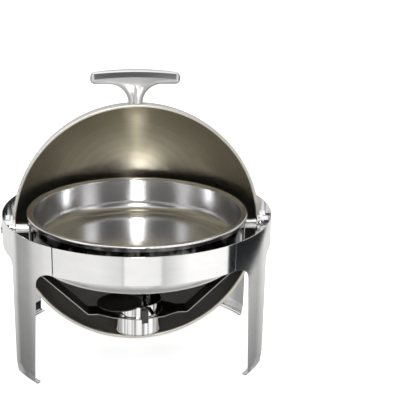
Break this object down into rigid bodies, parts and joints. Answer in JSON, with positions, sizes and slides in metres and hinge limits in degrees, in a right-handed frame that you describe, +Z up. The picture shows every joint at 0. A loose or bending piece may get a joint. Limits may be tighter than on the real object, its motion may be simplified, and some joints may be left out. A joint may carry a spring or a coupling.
{
  "type": "roll top chafer",
  "caption": "Round roll top chafing dish: half-dome lid rolls back on side pivots over a food pan, a water pan and a fuel cup in a banded leg frame.",
  "frame": {"origin": "centre of the footprint on the table, under the middle of the pans", "axes": "+Z up, -Y towards the serving front, +X to the right, hinge along X"},
  "size_m": [0.478, 0.472, 0.4929],
  "materials": {
    "band_steel": "mirror polished stainless sheet",
    "hidden_steel": "plain rolled stainless, welded",
    "collar_steel": "polished stainless hoop",
    "pivot_steel": "turned and polished stainless",
    "bush_nylon": "black nylon bush",
    "strap_steel": "bent flat bar, dark in the shade of the pan",
    "cup_steel": "drawn stainless with fine vertical draw lines",
    "cover_steel": "dark polished cover",
    "pan_steel": "satin spun interior with a polished rim",
    "water_pan_steel": "satin drawn stainless",
    "dome_steel": "mirror outside, satin spun inside, bright beaded rim",
    "handle_chrome": "cast and chromed",
    "screw_steel": "plain stainless fasteners"
  },
  "bodies": {
    "frame": {"left_side_plate": "band_steel", "right_side_plate": "band_steel", "front_apron": "band_steel", "rear_apron": "band_steel", "splice_plates": "hidden_steel", "support_ring": "collar_steel", "left_tie_bracket": "hidden_steel", "right_tie_bracket": "hidden_steel", "left_pivot_pin": "pivot_steel", "right_pivot_pin": "pivot_steel", "left_spacer_tube": "pivot_steel", "right_spacer_tube": "pivot_steel", "left_pivot_washer": "pivot_steel", "right_pivot_washer": "pivot_steel", "left_stop_pins": "hidden_steel", "right_stop_pins": "hidden_steel", "fuel_strap": "strap_steel", "fuel_cup": "cup_steel", "cover_clip": "strap_steel", "cover_pin": "strap_steel"},
    "lid": {"lid_dome": "dome_steel", "left_hinge_hub": "pivot_steel", "right_hinge_hub": "pivot_steel", "left_hub_bush": "bush_nylon", "right_hub_bush": "bush_nylon", "handle": "handle_chrome", "handle_screws": "screw_steel", "handle_washers": "screw_steel"},
    "water_pan": {"water_pan": "water_pan_steel"},
    "food_pan": {"food_pan": "pan_steel"},
    "cup_cover": {"swing_cover": "cover_steel"}
  },
  "joints": [
    {"name": "lid_roll", "type": "hinge", "parent": "frame", "child": "lid", "pos_m": [0, 0, 0.226], "axis": [1, 0, 0], "range_deg": [0, 91]},
    {"name": "water_pan_lift", "type": "slide", "parent": "frame", "child": "water_pan", "axis": [0, 0, 1], "range_m": [0, 0.015]},
    {"name": "food_pan_lift", "type": "slide", "parent": "water_pan", "child": "food_pan", "axis": [0, 0, 1], "range_m": [0, 0.025]},
    {"name": "cover_swing", "type": "hinge", "parent": "frame", "child": "cup_cover", "pos_m": [0.0092, -0.04915, 0.0886], "axis": [0, 0, 1], "range_deg": [-49, 40]}
  ]
}
